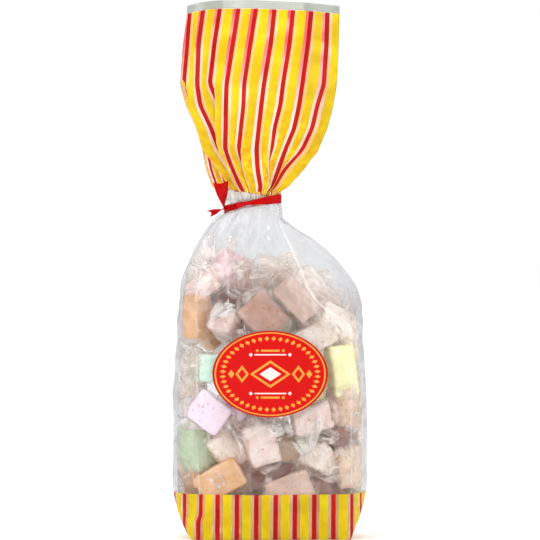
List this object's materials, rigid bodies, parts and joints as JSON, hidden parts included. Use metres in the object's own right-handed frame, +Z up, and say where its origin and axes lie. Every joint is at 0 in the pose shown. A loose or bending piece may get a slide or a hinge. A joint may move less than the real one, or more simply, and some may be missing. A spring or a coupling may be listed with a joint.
{
  "type": "clear bag of wrapped nougat sweets",
  "caption": "Clear gusseted bag of wrapped nougat on a flat block bottom, with a striped fanned top gathered by a ribbon twist tie and an oval front label.",
  "frame": {"origin": "middle of the flat base, on the surface that the bag stands on", "axes": "+Z up along the bag towards its open end, +X to the right as the label is seen, the label faces -Y"},
  "size_m": [0.136, 0.0777, 0.377],
  "materials": {
    "clear_film": "gloss",
    "label_paper": "gloss",
    "tie_ribbon": "satin",
    "nougat": "matte",
    "wrapper_film": "gloss"
  },
  "bodies": {
    "root": {"bag": "clear_film", "label": "label_paper", "twist_tie": "tie_ribbon"}
  },
  "joints": []
}
